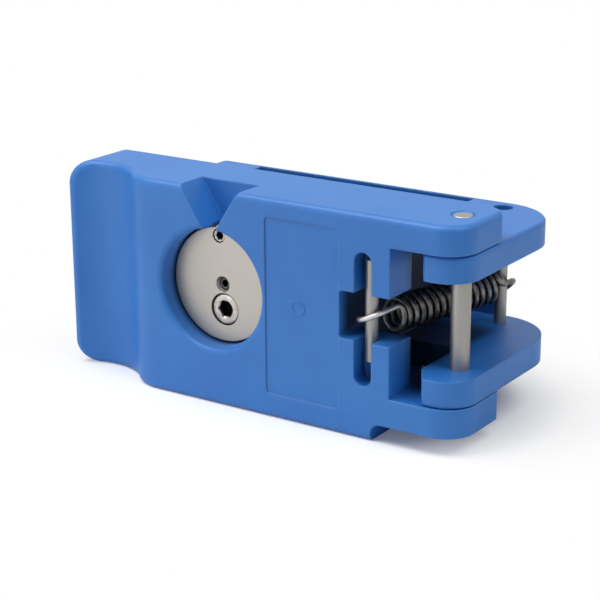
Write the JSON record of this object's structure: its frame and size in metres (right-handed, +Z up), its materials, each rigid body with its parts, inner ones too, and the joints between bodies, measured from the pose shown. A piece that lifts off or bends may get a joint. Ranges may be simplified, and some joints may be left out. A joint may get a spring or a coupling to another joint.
{
  "type": "cable stripping tool",
  "caption": "Hand-held cable stripping tool: two moulded jaws on a hinge pin, pulled shut by a tension spring, with a turning blade carrier in one jaw and guide rollers in the other.",
  "frame": {"origin": "middle of the closed tool's footprint, on the surface that it stands on", "axes": "+X from the grip end to the hinge end, +Y from the front jaw to the rear jaw, +Z up along the hinge"},
  "size_m": [0.151, 0.0672, 0.0698],
  "materials": {
    "jaw_blue": "satin moulded",
    "pin_steel": "ground",
    "carrier_steel": "satin turned",
    "spring_steel": "dark drawn wire",
    "blade_steel": "ground",
    "screw_steel": "plain",
    "roller_steel": "turned"
  },
  "bodies": {
    "front_jaw": {"front_jaw": "jaw_blue", "hinge_pin": "pin_steel", "front_spring_pin": "pin_steel", "tension_spring": "spring_steel", "carrier_thrust_washer": "pin_steel"},
    "rear_jaw": {"rear_jaw": "jaw_blue", "rear_spring_pin": "pin_steel", "left_roller_axle": "pin_steel", "right_roller_axle": "pin_steel"},
    "blade_carrier": {"blade_carrier": "carrier_steel", "carrier_retaining_ring": "spring_steel", "cutting_blade": "blade_steel", "blade_clamp_screw": "screw_steel", "blade_depth_screw": "screw_steel", "index_plunger": "screw_steel", "index_spring": "spring_steel", "index_ball": "pin_steel"},
    "left_guide_roller": {"left_guide_roller": "roller_steel"},
    "right_guide_roller": {"right_guide_roller": "roller_steel"}
  },
  "joints": [
    {"name": "jaw_hinge", "type": "hinge", "parent": "front_jaw", "child": "rear_jaw", "pos_m": [0.06715, -0.01805, 0.035], "axis": [0, 0, -1], "range_deg": [0, 30], "stiffness_Nm_per_rad": 2.4, "springref_deg": -11.46, "deforming": ["tension_spring"]},
    {"name": "carrier_turn", "type": "hinge", "parent": "front_jaw", "child": "blade_carrier", "pos_m": [-0.01315, -0.02655, 0.0375], "axis": [0, -1, 0], "range_deg": [-4.5, 85.5]},
    {"name": "left_roller_spin", "type": "hinge", "parent": "rear_jaw", "child": "left_guide_roller", "pos_m": [-0.02874, 0.01395, 0.0303], "axis": [0, 0, 1], "continuous": true},
    {"name": "right_roller_spin", "type": "hinge", "parent": "rear_jaw", "child": "right_guide_roller", "pos_m": [0.00244, 0.01395, 0.0303], "axis": [0, 0, 1], "continuous": true}
  ]
}
